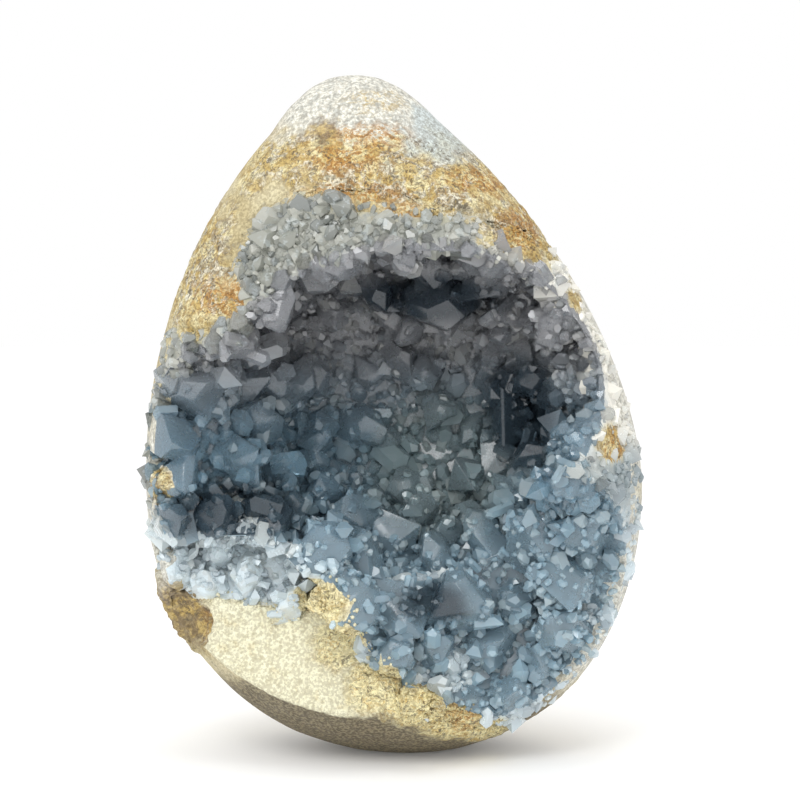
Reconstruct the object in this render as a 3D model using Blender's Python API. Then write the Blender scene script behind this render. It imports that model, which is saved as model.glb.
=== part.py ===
# Celestite geode: an egg of cream and grey rock, ground smooth outside and flat underneath,
# broken open at the front, with one crust of blue crystals lining the hollow.
# Metres, +Z up, the open front facing -Y. The origin is under the middle of the egg, on its flat base.
import math
import random

import bmesh
import bpy
from mathutils import Matrix, Vector, noise
from mathutils.bvhtree import BVHTree

# The egg: driving dimensions
HEIGHT = 0.190                 # flat base to tip
HALF_WIDTH = 0.069             # at the widest level
WIDEST_LEVEL = 0.077           # height of the widest level above the base
ROUND_BOTTOM = 0.0013          # how far the round bottom would reach below the flat base
FRONT_DEPTH = 0.70             # front half depth, as a share of the half width at that level
BACK_DEPTH = 0.88              # back half depth, as a share of the half width at that level
TIP_LEAN = 0.0110              # how far the tip leans to the left
LEAN_POWER = 1.25
FOOT_SHIFT_X = 0.0030          # how far the foot sits to the right
FOOT_SHIFT_Y = 0.0120          # how far the foot sits to the back, under the weight
LOWER_FULLNESS = 2.12          # exponent of the lower outline, 2 being an ellipse
UPPER_POWER = 1.8              # the two exponents of the pointed upper outline
UPPER_ROOT = 0.72
TIP_BLUNTNESS = 0.90           # the rounding of the very tip
TIP_ROOT = 0.47
EGG_RINGS = 22
EGG_SIDES = 38
FIRST_RING = 0.35              # where the rings start, as a share of their spacing
SHOULDER = 0.0025              # how far the rock bulges to the left, above the foot
SHOULDER_LEVEL = 0.040
SHOULDER_REACH = 0.018
GRIND_LUMP = 0.0008            # height of the low lumps that hand grinding leaves
GRIND_LUMP_SIZE = 0.030
GRIND_SEED = 3.0
BREAK_LUMP = 0.0040            # height of the lumps on the crust's broken rim
BREAK_LUMP_SIZE = 0.011
BREAK_SEED = 9.0
BREAK_FACING = 0.7             # how soon the break fades out towards the sides
BREAK_RECESS = 0.0050          # how far the rim is broken in at the upper left, at most
BREAK_CENTRE = (-0.015, 0.130)
BREAK_REACH = (0.034, 0.028)

# Rock and crust are two pieces, so a thin seam is left between them
SEAM = 0.00035
ROOM_GROWTH = 0.0001           # how far crystals may pass the crust's outside, towards the rock
CRYSTAL_SEED = 11

# The outside of the crust, where it meets the rock: (centre, radii), in the egg's frame
CRUST_LOBES = (
    ((0.008, -0.014, 0.096), (0.067, 0.057, 0.057)),      # around the main hollow
    ((-0.012, -0.020, 0.130), (0.034, 0.032, 0.029)),     # the thick part at the upper left
    ((-0.050, -0.020, 0.088), (0.034, 0.040, 0.033)),     # out through the left side
    ((-0.034, -0.018, 0.060), (0.031, 0.034, 0.018)),     # the shelf at the lower left
    ((0.042, -0.028, 0.052), (0.058, 0.038, 0.0475)),     # down to the right, out through the side
)
CRUST_LUMP = 0.0034
CRUST_LUMP_SIZE = 0.020
CRUST_SEED = 30.0

# The open space inside: (centre, radii)
HOLLOWS = (
    ((0.003, -0.012, 0.099), (0.054, 0.045, 0.048)),      # the main hollow, deepest at the top
    ((-0.044, -0.034, 0.088), (0.034, 0.032, 0.029)),     # the notch towards the left side
    ((0.034, -0.050, 0.042), (0.058, 0.044, 0.044)),      # the shallow bowl at the lower right
    ((-0.014, -0.056, 0.064), (0.025, 0.030, 0.019)),     # where these three meet at the front
)
HOLLOW_LUMP = 0.0028
HOLLOW_LUMP_SIZE = 0.018
HOLLOW_SEED = 20.0

# The broken ledge of rock at the lower left: a plane facing forward and a little up
LEDGE_NORMAL = Vector((-0.06, -0.95, 0.30)).normalized()
LEDGE_DISTANCE = 0.0265        # of the plane from the egg's frame origin, along the normal
LEDGE_RIGHT_TOP = -0.026       # where the break ends on the right, at its top and at the base
LEDGE_RIGHT_BASE = 0.016
LEDGE_TOP = 0.060              # the top of the break, at the plane
LEDGE_RISE = 0.035             # how much higher the break reaches in front
LEDGE_LEFT = -0.095            # the cutter's own left end, foot and front, all outside the egg
LEDGE_FOOT = -0.020
LEDGE_FRONT = 0.100
LEDGE_CUTS = 9
LEDGE_GROWTH = (2.0, 1.1, 1.1)    # how far its right, back and top move for each unit of growth
LEDGE_LUMP = 0.0012
LEDGE_LUMP_SIZE = 0.014
LEDGE_SEED = 7.0
PIT = ((-0.0590, -0.0130, 0.038), (0.0095, 0.0095, 0.0090))    # (centre, radii)
PIT_LUMP = 0.0020
PIT_LUMP_SIZE = 0.008
PIT_SEED = 5.0

# Celestite's crystal habit: its faces' normals, with the long a axis along local +Z
FLAT_SIDE = (0.0, 1.0, 0.0)
SLANT_SIDES = ((0.789, 0.614, 0.0), (-0.789, 0.614, 0.0))
CHISEL_FACES = ((0.0, 0.773, 0.635), (0.0, -0.773, 0.635))
END_FACES = ((0.615, 0.0, 0.788), (-0.615, 0.0, 0.788))
BLUNT_END = (0.0, 0.0, 1.0)
SIX_SIDED_ODDS = 0.60          # the others have four sides
END_FACE_ODDS = 0.75
BLUNT_ODDS = 0.35
SLANT_FLATS = (0.42, 0.52)     # how far the sides stand from the middle, as a share of the width
FLAT_FLATS = (0.34, 0.48)
FOUR_SIDED_SHARE = 0.85        # a four-sided crystal's sides stand this much closer
TIP_FLATS = (0.84, 1.08)       # how far the tip's faces would meet, as a share of the length
BLUNT_FLATS = (0.80, 0.95)

# The large crystals that the eye picks out: where each is seen from the front (x, z),
# how wide and long it is, and the way it points
LARGE_CRYSTALS = (
    ((0.017, 0.1300), 0.0180, 0.020, (-0.55, -0.75, -0.35)),
    ((0.036, 0.1270), 0.0120, 0.014, (-0.30, -0.80, -0.50)),
    ((0.045, 0.1050), 0.0110, 0.014, (-0.90, -0.45, 0.00)),
    ((0.034, 0.0930), 0.0160, 0.015, (-0.30, -0.95, 0.10)),
    ((0.009, 0.1060), 0.0110, 0.012, (0.00, -1.00, 0.10)),
    ((-0.032, 0.0990), 0.0110, 0.019, (0.50, -0.60, 0.55)),
    ((-0.045, 0.0840), 0.0140, 0.016, (0.60, -0.75, -0.30)),
    ((-0.056, 0.1030), 0.0150, 0.015, (0.50, -0.85, 0.20)),
    ((-0.014, 0.0900), 0.0100, 0.015, (0.80, -0.60, 0.10)),
    ((-0.010, 0.0560), 0.0130, 0.017, (-0.15, -0.90, 0.40)),
    ((0.038, 0.0600), 0.0150, 0.018, (0.05, -0.70, 0.70)),
    ((0.017, 0.0420), 0.0170, 0.019, (0.25, -0.85, 0.50)),
    ((-0.051, 0.0680), 0.0140, 0.013, (0.40, -0.90, 0.10)),
    ((0.052, 0.0640), 0.0130, 0.015, (-0.30, -0.85, 0.40)),
    ((0.003, 0.0720), 0.0130, 0.013, (0.10, -0.95, 0.30)),
    ((0.022, 0.0760), 0.0120, 0.013, (-0.10, -0.95, 0.20)),
)
SHELF_X = (-0.062, -0.014)     # the shelf's own crystals, over this part of the front
SHELF_Z = (0.043, 0.058)
SHELF_WIDTHS = (0.0060, 0.0095)
SHELF_LENGTHS = (0.8, 1.2)     # as a share of the width
SHELF_WAY = Vector((-0.10, -0.70, 0.65))
SHELF_LEAN = 0.45              # how far their directions stray
SHELF_TRIES = 20
FAR_IN_FRONT = -0.2            # a level in front of the whole egg
WALL_START = -0.046            # the level in the hollow from which their roots are looked for
FILL_DIRECTIONS = 1500         # directions tried for the smaller crystals between them
FILL_LIMIT = 84                # how many of them are kept
FILL_WIDTHS = (0.0095, 0.0150)
FILL_LENGTHS = (0.75, 1.25)    # as a share of the width
FILL_LEAN = 0.5
FILL_SPACING = 0.85            # closest spacing, as a share of the two widths' mean
FILL_ROOM = 0.98               # their tips stay inside the egg shrunk to this share of its width
SUNK_SHARE = 0.40              # how deep a crystal stands in the crust, as a share of its width

ROCK_COLOUR = (0.62, 0.56, 0.43)
ROCK_ROUGHNESS = 0.85
CELESTITE_COLOUR = (0.36, 0.47, 0.54)
CELESTITE_ROUGHNESS = 0.15
CELESTITE_SEE_THROUGH = 0.5
CELESTITE_IOR = 1.62
STONE_IOR = 1.5
ROCK_SHARP_FROM = 35           # degrees between faces from which an edge is shaded sharp
CRUST_SHARP_FROM = 12


def clear_scene():
    for obj in list(bpy.data.objects):
        bpy.data.objects.remove(obj)


def material(name, colour, roughness, see_through=0.0):
    made = bpy.data.materials.new(name)
    made.use_nodes = True
    shader = made.node_tree.nodes["Principled BSDF"]
    shader.inputs["Base Color"].default_value = (*colour, 1.0)
    shader.inputs["Roughness"].default_value = roughness
    shader.inputs["Metallic"].default_value = 0.0
    shader.inputs["Transmission Weight"].default_value = see_through
    shader.inputs["IOR"].default_value = CELESTITE_IOR if see_through else STONE_IOR
    return made


def add_object(name, bm, finish=None, helper=False):
    mesh = bpy.data.meshes.new(name)
    bm.to_mesh(mesh)
    bm.free()
    if finish:
        mesh.materials.append(finish)
    obj = bpy.data.objects.new(name, mesh)
    bpy.context.scene.collection.objects.link(obj)
    if helper:
        obj.hide_render = True
        obj.display_type = "WIRE"
    return obj


def lump(point, height, size, seed):
    return height * noise.noise(point / size + Vector((seed, 0.0, 0.0)))


def egg_half_width(level):
    if level < WIDEST_LEVEL:
        share = (WIDEST_LEVEL - level) / (WIDEST_LEVEL + ROUND_BOTTOM)
        return HALF_WIDTH * (1 - share ** LOWER_FULLNESS) ** (1 / LOWER_FULLNESS)
    share = (level - WIDEST_LEVEL) / (HEIGHT - WIDEST_LEVEL)
    side = (1 - share ** UPPER_POWER) ** UPPER_ROOT
    return HALF_WIDTH * max(side, TIP_BLUNTNESS * (1 - share) ** TIP_ROOT)


def egg_axis(level):
    """Where the egg's middle line is at that level."""
    if level < WIDEST_LEVEL:
        share = 1 - level / WIDEST_LEVEL
        return Vector((FOOT_SHIFT_X * share ** 2, FOOT_SHIFT_Y * share ** 2, level))
    share = (level - WIDEST_LEVEL) / (HEIGHT - WIDEST_LEVEL)
    return Vector((-TIP_LEAN * share ** LEAN_POWER, 0.0, level))


def broken_in(point, facing):
    """How far the crust's broken rim is in from the ground egg, for a point facing the front so much."""
    from_centre = ((point.x - BREAK_CENTRE[0]) / BREAK_REACH[0], (point.z - BREAK_CENTRE[1]) / BREAK_REACH[1])
    recess = BREAK_RECESS * math.exp(-from_centre[0] ** 2 - from_centre[1] ** 2)
    return facing * (recess + abs(lump(point, BREAK_LUMP, BREAK_LUMP_SIZE, BREAK_SEED)))


def is_inside(point, share):
    """Whether a point is inside the egg shrunk to that share of its width."""
    if not 0.0 < point.z < HEIGHT:
        return False
    width = share * egg_half_width(point.z)
    out = point - egg_axis(point.z)
    return (out.x / width) ** 2 + (out.y / (width * (BACK_DEPTH if out.y > 0 else FRONT_DEPTH))) ** 2 < 1


def egg_mesh(broken=False):
    """The egg, whole: rings of points closed by a fan at the tip and a flat face at the base."""
    bm = bmesh.new()
    rings = []
    for ring in range(EGG_RINGS):
        level = HEIGHT * (1 - math.cos(math.pi * (ring + FIRST_RING) / (EGG_RINGS + FIRST_RING))) / 2
        level = 0.0 if ring == 0 else level
        middle = egg_axis(level)
        widest = egg_half_width(level)
        points = []
        for side in range(EGG_SIDES):
            angle = 2 * math.pi * side / EGG_SIDES
            depth = BACK_DEPTH if math.sin(angle) > 0 else FRONT_DEPTH
            out = Vector((math.cos(angle), depth * math.sin(angle), 0.0))
            bulge = SHOULDER * math.exp(-((level - SHOULDER_LEVEL) / SHOULDER_REACH) ** 2)
            width = widest + bulge * max(0.0, -math.cos(angle))
            raised = lump(middle + out * width, GRIND_LUMP, GRIND_LUMP_SIZE, GRIND_SEED) if ring else 0.0
            if broken:
                raised -= broken_in(middle + out * width, max(0.0, -math.sin(angle)) ** BREAK_FACING)
            points.append(bm.verts.new(middle + out * (width + raised)))
        rings.append(points)
    for lower, upper in zip(rings, rings[1:]):
        for side in range(EGG_SIDES):
            other = (side + 1) % EGG_SIDES
            bm.faces.new((lower[side], lower[other], upper[other], upper[side]))
    bm.faces.new(list(reversed(rings[0])))
    tip = bm.verts.new(egg_axis(HEIGHT))
    for side in range(EGG_SIDES):
        bm.faces.new((rings[-1][side], rings[-1][(side + 1) % EGG_SIDES], tip))
    return bm


def lobe_mesh(centre, radii, grow, lump_height, lump_size, seed):
    """A lumpy ellipsoid, grown all round by the distance given."""
    bm = bmesh.new()
    bmesh.ops.create_icosphere(bm, subdivisions=3, radius=1.0)
    centre = Vector(centre)
    for vert in bm.verts:
        way = vert.co.normalized()
        surface = Vector(radius * part for radius, part in zip(radii, way))
        raised = grow + lump(centre + surface, lump_height, lump_size, seed)
        vert.co = centre + surface + way * raised
    return bm


def ledge_cutter_mesh(grow):
    """A slab in front of the ledge's plane, with a slanting right end, grown by the distance given."""
    bm = bmesh.new()
    bmesh.ops.create_cube(bm, size=1.0)
    bmesh.ops.subdivide_edges(bm, edges=bm.edges, cuts=LEDGE_CUTS, use_grid_fill=True)
    bmesh.ops.triangulate(bm, faces=bm.faces, quad_method="FIXED")
    slope = (LEDGE_RIGHT_TOP - LEDGE_RIGHT_BASE) / LEDGE_TOP
    for vert in bm.verts:
        right, back, up = (part + 0.5 for part in vert.co)
        z = LEDGE_FOOT + (LEDGE_TOP - LEDGE_FOOT) * up
        x = LEDGE_LEFT + (LEDGE_RIGHT_BASE + slope * z - LEDGE_LEFT) * right
        on_plane = (LEDGE_NORMAL.x * x + LEDGE_NORMAL.z * z - LEDGE_DISTANCE) / -LEDGE_NORMAL.y
        y = on_plane * back - LEDGE_FRONT * (1 - back)
        vert.co = Vector((x, y, z + LEDGE_RISE * up * (1 - back)))
        vert.co += LEDGE_NORMAL * lump(vert.co, LEDGE_LUMP, LEDGE_LUMP_SIZE, LEDGE_SEED)
        vert.co += grow * Vector(LEDGE_GROWTH) * Vector((right, back, up))
    return bm


def crystal_mesh(width, length, draw):
    """One celestite crystal along +Z, cut by its faces from a block: four or six sides and a chisel tip."""
    bm = bmesh.new()
    bmesh.ops.create_cube(bm, size=4 * length)
    six_sided = draw.random() < SIX_SIDED_ODDS
    faces = []
    for normal in SLANT_SIDES:
        flat = width * draw.uniform(*SLANT_FLATS) * (1.0 if six_sided else FOUR_SIDED_SHARE)
        faces += [(Vector(normal), flat), (-Vector(normal), flat)]
    if six_sided:
        flat = width * draw.uniform(*FLAT_FLATS)
        faces += [(Vector(FLAT_SIDE), flat), (-Vector(FLAT_SIDE), flat)]
    for normal in CHISEL_FACES + (END_FACES if draw.random() < END_FACE_ODDS else ()):
        normal = Vector(normal)
        faces.append((normal, normal.z * length * draw.uniform(*TIP_FLATS)))
    if draw.random() < BLUNT_ODDS:
        faces.append((Vector(BLUNT_END), length * draw.uniform(*BLUNT_FLATS)))
    faces.append((-Vector(BLUNT_END), SUNK_SHARE * width))
    for normal, distance in faces:
        cut = bmesh.ops.bisect_plane(
            bm,
            geom=bm.verts[:] + bm.edges[:] + bm.faces[:],
            dist=1e-7,
            plane_co=normal.normalized() * distance,
            plane_no=normal,
            clear_outer=True,
        )
        edges = [item for item in cut["geom_cut"] if isinstance(item, bmesh.types.BMEdge)]
        if edges:
            bmesh.ops.contextual_create(bm, geom=edges)
    bmesh.ops.remove_doubles(bm, verts=bm.verts, dist=1e-5)
    bmesh.ops.recalc_face_normals(bm, faces=bm.faces)
    return bm


def evaluated(obj):
    graph = bpy.context.evaluated_depsgraph_get()
    return bpy.data.meshes.new_from_object(obj.evaluated_get(graph))


def surface_of(obj):
    mesh = evaluated(obj)
    bm = bmesh.new()
    bm.from_mesh(mesh)
    tree = BVHTree.FromBMesh(bm)
    bm.free()
    return tree


def add_boolean(obj, operation, other):
    modifier = obj.modifiers.new(f"{operation.lower()} {other.name}", "BOOLEAN")
    modifier.operation = operation
    modifier.solver = "EXACT"
    if isinstance(other, bpy.types.Collection):
        modifier.operand_type = "COLLECTION"
        modifier.collection = other
    else:
        modifier.object = other


def keep_largest_body(obj):
    """Applies the modifiers and drops the crumbs that clipping at the egg's surface leaves."""
    mesh = evaluated(obj)
    obj.modifiers.clear()
    bm = bmesh.new()
    bm.from_mesh(mesh)
    left = set(bm.verts)
    bodies = []
    while left:
        body, edge = set(), [left.pop()]
        while edge:
            vert = edge.pop()
            body.add(vert)
            edge += [near for e in vert.link_edges for near in e.verts if near in left]
            left -= set(edge)
        bodies.append(body)
    largest = max(bodies, key=len)
    crumbs = [vert for vert in bm.verts if vert not in largest]
    bmesh.ops.delete(bm, geom=crumbs, context="VERTS")
    bm.to_mesh(obj.data)
    bm.free()


def is_free(places, root, width):
    """Whether a crystal of this width may stand there, clear enough of those already placed."""
    return all((root - other).length > FILL_SPACING * (width + wide) / 2 for other, _, wide, _ in places)


def crystal_places(wall, draw):
    """Where crystals stand on the crust: (root, direction, width, length)."""
    places = []
    to_back = Vector((0.0, 1.0, 0.0))
    for (x, z), width, length, way in LARGE_CRYSTALS:
        root, _, _, _ = wall.ray_cast(Vector((x, WALL_START, z)), to_back)
        if root:
            places.append((root, Vector(way).normalized(), width, length))
    for _ in range(SHELF_TRIES):
        x, z = draw.uniform(*SHELF_X), draw.uniform(*SHELF_Z)
        root, _, _, _ = wall.ray_cast(Vector((x, FAR_IN_FRONT, z)), to_back)
        width = draw.uniform(*SHELF_WIDTHS)
        way = SHELF_WAY + Vector(draw.uniform(-SHELF_LEAN, SHELF_LEAN) for _ in range(3))
        length = width * draw.uniform(*SHELF_LENGTHS)
        if root and is_free(places, root, width):
            places.append((root, way.normalized(), width, length))
    centres = [Vector(centre) for centre, _ in HOLLOWS]
    golden = math.pi * (3 - math.sqrt(5))
    kept = 0
    for index in draw.sample(range(FILL_DIRECTIONS), FILL_DIRECTIONS):
        rise = 1 - 2 * (index + 0.5) / FILL_DIRECTIONS
        turn = golden * index
        flat = math.sqrt(1 - rise * rise)
        way = Vector((flat * math.cos(turn), flat * math.sin(turn), rise))
        root, normal, _, _ = wall.ray_cast(centres[index % len(centres)], way)
        width = draw.triangular(*FILL_WIDTHS, FILL_WIDTHS[0])
        lean = Vector(draw.uniform(-FILL_LEAN, FILL_LEAN) for _ in range(3))
        length = width * draw.uniform(*FILL_LENGTHS)
        if kept == FILL_LIMIT or not root or not is_free(places, root, width):
            continue
        inward = normal if normal.dot(way) < 0 else -normal
        stand = (inward + lean).normalized()
        if is_inside(root + stand * length, FILL_ROOM):
            places.append((root, stand, width, length))
            kept += 1
    return places


def add_crystals(wall, draw):
    """The crystals, each its own helper object, in one collection."""
    group = new_group("crystals")
    for index, (root, way, width, length) in enumerate(crystal_places(wall, draw)):
        crystal = add_object(f"crystal_{index}", crystal_mesh(width, length, draw), helper=True)
        turn = Matrix.Rotation(draw.uniform(0, 2 * math.pi), 4, "Z")
        crystal.matrix_world = Matrix.Translation(root) @ way.to_track_quat("Z", "Y").to_matrix().to_4x4() @ turn
        bpy.context.scene.collection.objects.unlink(crystal)
        group.objects.link(crystal)
    return group


def smooth_but_sharp(obj, degrees):
    obj.data.shade_smooth()
    obj.data.set_sharp_from_angle(angle=math.radians(degrees))


def centre_over_origin(objects):
    """Stands the geode over the origin, by the middle of its box."""
    corners = [vert.co for obj in objects for vert in obj.data.vertices]
    low = Vector(min(corner[i] for corner in corners) for i in range(3))
    high = Vector(max(corner[i] for corner in corners) for i in range(3))
    shift = Vector((-(low.x + high.x) / 2, -(low.y + high.y) / 2, -low.z))
    for obj in objects:
        obj.data.transform(Matrix.Translation(shift))


def add_lobe(name, shape, grow, lumps, group=None, finish=None, helper=True):
    obj = add_object(name, lobe_mesh(*shape, grow, *lumps), finish, helper)
    if group:
        bpy.context.scene.collection.objects.unlink(obj)
        group.objects.link(obj)
    return obj


def new_group(name):
    group = bpy.data.collections.new(name)
    group.hide_render = True
    bpy.context.scene.collection.children.link(group)
    return group


def main():
    clear_scene()
    draw = random.Random(CRYSTAL_SEED)
    rock_finish = material("rock", ROCK_COLOUR, ROCK_ROUGHNESS)
    crystal_finish = material("celestite", CELESTITE_COLOUR, CELESTITE_ROUGHNESS, CELESTITE_SEE_THROUGH)

    ledge = add_object("ledge_cutter", ledge_cutter_mesh(0.0), helper=True)
    ledge_room = add_object("ledge_room", ledge_cutter_mesh(ROOM_GROWTH), helper=True)
    ledge_seat = add_object("ledge_seat", ledge_cutter_mesh(SEAM), helper=True)
    pit = add_lobe("pit_cutter", PIT, 0.0, (PIT_LUMP, PIT_LUMP_SIZE, PIT_SEED))
    broken = add_object("broken_egg", egg_mesh(broken=True), helper=True)

    # What the crust is made from, and the same shapes a little larger to seat it in the rock
    hollows = new_group("hollows")
    seats = new_group("seats")
    rooms = new_group("rooms")
    more_lobes = new_group("more_lobes")
    for index, shape in enumerate(HOLLOWS):
        lumps = (HOLLOW_LUMP, HOLLOW_LUMP_SIZE, HOLLOW_SEED + index)
        add_lobe(f"hollow_{index}", shape, 0.0, lumps, hollows)
        add_lobe(f"hollow_room_{index}", shape, ROOM_GROWTH, lumps, rooms)
        add_lobe(f"hollow_seat_{index}", shape, SEAM, lumps, seats)
    lumps = (CRUST_LUMP, CRUST_LUMP_SIZE, CRUST_SEED)
    for index, shape in enumerate(CRUST_LOBES):
        add_lobe(f"crust_seat_{index}", shape, SEAM, lumps, seats)
        if index > 0:
            add_lobe(f"crust_room_{index}", shape, ROOM_GROWTH, lumps, rooms)
            add_lobe(f"crust_lobe_{index}", shape, 0.0, lumps, more_lobes)
    room = add_lobe("room", CRUST_LOBES[0], ROOM_GROWTH, lumps)
    add_boolean(room, "UNION", rooms)
    add_boolean(room, "UNION", ledge_room)

    rock = add_object("rock_matrix", egg_mesh(), rock_finish)
    add_boolean(rock, "DIFFERENCE", seats)
    add_boolean(rock, "DIFFERENCE", ledge_seat)
    add_boolean(rock, "DIFFERENCE", pit)

    crust = add_lobe("crystal_crust", CRUST_LOBES[0], 0.0, lumps, finish=crystal_finish, helper=False)
    add_boolean(crust, "UNION", more_lobes)
    add_boolean(crust, "DIFFERENCE", hollows)
    add_boolean(crust, "DIFFERENCE", ledge)
    add_boolean(crust, "INTERSECT", broken)
    wall = surface_of(crust)
    crust.modifiers.remove(crust.modifiers[-1])
    add_boolean(crust, "UNION", add_crystals(wall, draw))
    add_boolean(crust, "INTERSECT", room)
    add_boolean(crust, "INTERSECT", broken)

    keep_largest_body(crust)
    keep_largest_body(rock)
    centre_over_origin((rock, crust))
    smooth_but_sharp(rock, ROCK_SHARP_FROM)
    smooth_but_sharp(crust, CRUST_SHARP_FROM)


main()
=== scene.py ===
# Celestite geode: the looks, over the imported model
import itertools
import math
import random

import bmesh
import bpy
import numpy
from mathutils import Matrix, Vector
from mathutils.bvhtree import BVHTree
from mathutils.kdtree import KDTree


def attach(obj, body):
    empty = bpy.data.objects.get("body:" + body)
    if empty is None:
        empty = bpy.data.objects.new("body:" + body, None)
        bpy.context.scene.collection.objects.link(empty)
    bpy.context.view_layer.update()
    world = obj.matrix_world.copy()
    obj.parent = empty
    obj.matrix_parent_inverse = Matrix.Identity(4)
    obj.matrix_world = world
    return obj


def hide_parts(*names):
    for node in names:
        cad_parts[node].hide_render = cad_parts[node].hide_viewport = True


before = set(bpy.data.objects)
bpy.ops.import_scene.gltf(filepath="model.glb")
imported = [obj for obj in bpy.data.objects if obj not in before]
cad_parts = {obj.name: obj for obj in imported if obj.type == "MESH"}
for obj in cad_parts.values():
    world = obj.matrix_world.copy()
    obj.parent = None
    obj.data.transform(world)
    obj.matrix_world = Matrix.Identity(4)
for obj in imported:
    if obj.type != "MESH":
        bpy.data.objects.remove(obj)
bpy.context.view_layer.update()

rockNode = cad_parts["rock_matrix"]
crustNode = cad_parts["crystal_crust"]

# the open space in front of the crystals, as it was cut: middle and radii of each part
hollows = (
    ((0.003, -0.0238, 0.099), (0.054, 0.045, 0.048)),
    ((-0.044, -0.0458, 0.088), (0.034, 0.032, 0.029)),
    ((0.034, -0.0618, 0.042), (0.058, 0.044, 0.044)),
    ((-0.014, -0.0678, 0.064), (0.025, 0.030, 0.019)),
)


# small tools
def selectOnly(obj):
    bpy.ops.object.select_all(action="DESELECT")
    obj.select_set(True)
    bpy.context.view_layer.objects.active = obj


def applyAll(obj):
    selectOnly(obj)
    for modifier in list(obj.modifiers):
        bpy.ops.object.modifier_apply(modifier=modifier.name)


def editMesh(action):
    # into edit mode, with everything or nothing selected
    bpy.ops.object.mode_set(mode="EDIT")
    bpy.ops.mesh.select_all(action=action)


def clearChoice():
    # nothing of the mesh selected, ready for a choice made by hand
    editMesh("DESELECT")
    bpy.ops.object.mode_set(mode="OBJECT")


def copyOf(node, name):
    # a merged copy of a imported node; the node itself stays as it is
    obj = bpy.data.objects.new(name, node.data.copy())
    bpy.context.scene.collection.objects.link(obj)
    obj.data.materials.clear()
    selectOnly(obj)
    editMesh("SELECT")
    bpy.ops.mesh.remove_doubles(threshold=0.00001)
    bpy.ops.object.mode_set(mode="OBJECT")
    return obj


def arraysOf(mesh):
    # the corners and the triangles of a mesh
    corners = numpy.array([vert.co[:] for vert in mesh.vertices])
    return corners, numpy.array([face.vertices[:] for face in mesh.polygons])


def joinMesh(name, points, faces, finish):
    # one object from many small shapes
    mesh = bpy.data.meshes.new(name)
    mesh.from_pydata(numpy.concatenate(points).tolist(), [], numpy.concatenate(faces).tolist())
    mesh.materials.append(finish)
    obj = bpy.data.objects.new(name, mesh)
    bpy.context.scene.collection.objects.link(obj)
    return obj


def addFloats(obj, name, values):
    # one number for each corner, which a finish reads by its name
    attribute = obj.data.attributes.new(name, "FLOAT", "POINT")
    attribute.data.foreach_set("value", numpy.array(values, numpy.float32))


def treeOf(obj):
    shape = bmesh.new()
    shape.from_mesh(obj.data)
    tree = BVHTree.FromBMesh(shape)
    shape.free()
    return tree


def fade(value, low, high):
    # 0 below low, 1 above high, smooth between; low may be the larger one
    share = min(1.0, max(0.0, (value - low) / (high - low)))
    return share * share * (3 - 2 * share)


def shareOut(point, middle, radii):
    # how far out a point is in an ellipsoid; 1 is on its surface
    return Vector((point[i] - middle[i]) / radii[i] for i in range(3)).length


def spotShare(point, spot):
    # how much a point is in a soft ellipsoid: (middle, radii)
    return fade(shareOut(point, *spot), 1.3, 0.7)


def hollowDepth(point):
    # metres into the open space, as it was cut; less than 0 in the body of the crust
    return max([-1.0] + [(1 - shareOut(point, *hollow)) * min(hollow[1]) for hollow in hollows])


# the ground egg, as it was cut
egg = dict(
    height=0.190, halfWidth=0.069, widest=0.077,
    front=0.70, back=0.88, middleY=-0.0118,   # half depths, as shares of the half width
    lean=-0.011, leanPower=1.25,              # the tip is to the left
    foot=(0.003, 0.012),                      # the base is to the right and further back
    lowPower=2.12, cutOff=0.0013,             # the outline below the widest level
    highPowers=(1.8, 0.72), tip=(0.90, 0.47),
    near=0.965, on=0.990, outside=1.02,       # from near on, surfaces are drawn to the egg
    snapFrom=0.006, snapTo=0.182,             # between these heights
    proud=1.004,                              # as far out as small crystals may reach
    frontX=-0.004,                            # the middle, for how far round a point is
)


def pastEgg(point):
    # how far out a point is, as a share of the ground egg's own width there; over 1 is outside
    if not 0.0 < point.z < egg["height"]:
        return 2.0
    if point.z < egg["widest"]:
        share = (egg["widest"] - point.z) / (egg["widest"] + egg["cutOff"])
        width = (1 - share ** egg["lowPower"]) ** (1 / egg["lowPower"])
        middle = Vector(egg["foot"]) * (1 - point.z / egg["widest"]) ** 2
    else:
        share = (point.z - egg["widest"]) / (egg["height"] - egg["widest"])
        inner, outer = egg["highPowers"]
        blunt, bluntPower = egg["tip"]
        width = max((1 - share ** inner) ** outer, blunt * (1 - share) ** bluntPower)
        middle = Vector((egg["lean"] * share ** egg["leanPower"], 0.0))
    out = Vector((point.x - middle.x, point.y - egg["middleY"] - middle.y))
    out.y /= egg["back"] if out.y > 0 else egg["front"]
    return out.length / (egg["halfWidth"] * width)


def toEgg(obj):
    # what is on the ground surface lies exactly on the egg
    right, further = egg["foot"]
    for vert in obj.data.vertices:
        share = pastEgg(vert.co)
        if egg["near"] < share < egg["outside"] and egg["snapFrom"] < vert.co.z < egg["snapTo"]:
            along = max(0.0, vert.co.z - egg["widest"]) / (egg["height"] - egg["widest"])
            below = max(0.0, 1 - vert.co.z / egg["widest"]) ** 2
            middle = Vector((egg["lean"] * along ** egg["leanPower"] + right * below,
                             egg["middleY"] + further * below, vert.co.z))
            stretch = 1 + (1 / share - 1) * fade(share, egg["near"], egg["on"])
            vert.co = middle + (vert.co - middle) * stretch


def frontness(point):
    # 1 at the very front of the egg, 0 at its sides
    out = Vector((point.x - egg["frontX"], (point.y - egg["middleY"]) / egg["front"], 0.0)).normalized()
    return -out.y


def colour(red, green, blue):
    # 0 to 255 as on a screen, to the shader's linear values
    return tuple((part / 255 / 12.92) if part < 10.3 else ((part / 255 + 0.055) / 1.055) ** 2.4
                 for part in (red, green, blue)) + (1.0,)


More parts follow.
